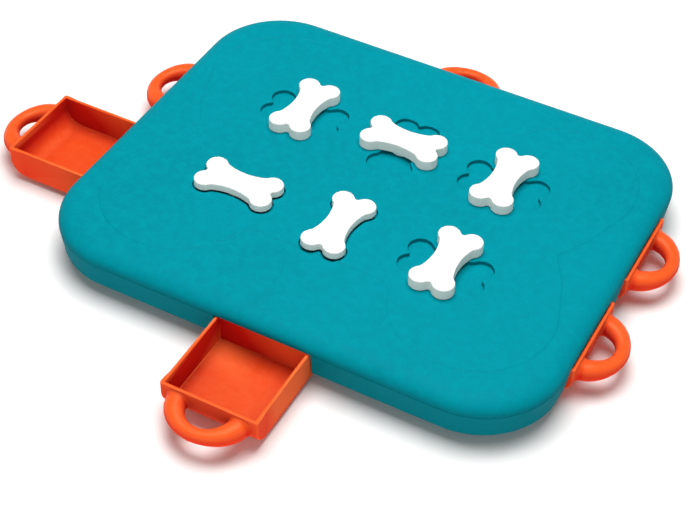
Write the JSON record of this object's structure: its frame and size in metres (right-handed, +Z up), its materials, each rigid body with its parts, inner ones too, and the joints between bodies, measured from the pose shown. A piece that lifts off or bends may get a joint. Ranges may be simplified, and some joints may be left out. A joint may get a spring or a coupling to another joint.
{
  "type": "dog puzzle feeder",
  "caption": "Dog puzzle feeder board: a rounded two-part housing with pull-out treat drawers, loop handles on their fronts, and bone-shaped turning knobs on top that lock them.",
  "frame": {"origin": "On the surface the board stands on, under the middle of the housing: the centre of the middle rubber foot's underside.", "axes": "+X runs along the long side of the housing to its right end, +Y to the long side at the back, +Z up through the knobs. Two drawers, the front one and the left front one, stand open by 68 mm at rest, as in the picture."},
  "size_m": [0.5244, 0.4544, 0.0507],
  "materials": {
    "housing_plastic": "satin teal moulded plastic",
    "drawer_plastic": "satin orange moulded plastic",
    "knob_plastic": "satin white moulded plastic",
    "key_plastic": "plain moulded plastic",
    "screw_steel": "zinc-plated steel",
    "foot_rubber": "soft dark rubber"
  },
  "bodies": {
    "housing": {"top_shell": "housing_plastic", "shell_posts": "housing_plastic", "shell_guides": "housing_plastic", "tray_floor": "housing_plastic", "tray_walls": "housing_plastic", "tray_posts": "housing_plastic", "tray_guides": "housing_plastic", "shell_screws": "screw_steel", "rubber_feet": "foot_rubber"},
    "tray_front": {"drawer_front": "drawer_plastic"},
    "tray_back": {"drawer_back": "drawer_plastic"},
    "tray_left_front": {"drawer_left_front": "drawer_plastic"},
    "tray_left_back": {"drawer_left_back": "drawer_plastic"},
    "tray_right_front": {"drawer_right_front": "drawer_plastic"},
    "tray_right_back": {"drawer_right_back": "drawer_plastic"},
    "bone_front": {"knob_front": "knob_plastic", "lock_key_front": "key_plastic", "key_washer_front": "screw_steel", "key_screw_front": "screw_steel"},
    "bone_back": {"knob_back": "knob_plastic", "lock_key_back": "key_plastic", "key_washer_back": "screw_steel", "key_screw_back": "screw_steel"},
    "bone_left_front": {"knob_left_front": "knob_plastic", "lock_key_left_front": "key_plastic", "key_washer_left_front": "screw_steel", "key_screw_left_front": "screw_steel"},
    "bone_left_back": {"knob_left_back": "knob_plastic", "lock_key_left_back": "key_plastic", "key_washer_left_back": "screw_steel", "key_screw_left_back": "screw_steel"},
    "bone_right_front": {"knob_right_front": "knob_plastic", "lock_key_right_front": "key_plastic", "key_washer_right_front": "screw_steel", "key_screw_right_front": "screw_steel"},
    "bone_right_back": {"knob_right_back": "knob_plastic", "lock_key_right_back": "key_plastic", "key_washer_right_back": "screw_steel", "key_screw_right_back": "screw_steel"}
  },
  "joints": [
    {"name": "slide_front", "type": "slide", "parent": "housing", "child": "tray_front", "axis": [0, -1, 0], "range_m": [-0.068, 0]},
    {"name": "slide_back", "type": "slide", "parent": "housing", "child": "tray_back", "axis": [0, 1, 0], "range_m": [0, 0.068]},
    {"name": "slide_left_front", "type": "slide", "parent": "housing", "child": "tray_left_front", "axis": [-1, 0, 0], "range_m": [-0.068, 0]},
    {"name": "slide_left_back", "type": "slide", "parent": "housing", "child": "tray_left_back", "axis": [-1, 0, 0], "range_m": [0, 0.068]},
    {"name": "slide_right_front", "type": "slide", "parent": "housing", "child": "tray_right_front", "axis": [1, 0, 0], "range_m": [0, 0.068]},
    {"name": "slide_right_back", "type": "slide", "parent": "housing", "child": "tray_right_back", "axis": [1, 0, 0], "range_m": [0, 0.068]},
    {"name": "turn_front", "type": "hinge", "parent": "housing", "child": "bone_front", "pos_m": [0, -0.0526, 0.0367], "axis": [0, 0, 1], "continuous": true},
    {"name": "turn_back", "type": "hinge", "parent": "housing", "child": "bone_back", "pos_m": [0, 0.0526, 0.0367], "axis": [0, 0, 1], "continuous": true},
    {"name": "turn_left_front", "type": "hinge", "parent": "housing", "child": "bone_left_front", "pos_m": [-0.0858, -0.0506, 0.0367], "axis": [0, 0, 1], "continuous": true},
    {"name": "turn_left_back", "type": "hinge", "parent": "housing", "child": "bone_left_back", "pos_m": [-0.0858, 0.0506, 0.0367], "axis": [0, 0, 1], "continuous": true},
    {"name": "turn_right_front", "type": "hinge", "parent": "housing", "child": "bone_right_front", "pos_m": [0.0858, -0.0506, 0.0367], "axis": [0, 0, 1], "continuous": true},
    {"name": "turn_right_back", "type": "hinge", "parent": "housing", "child": "bone_right_back", "pos_m": [0.0858, 0.0506, 0.0367], "axis": [0, 0, 1], "continuous": true}
  ]
}
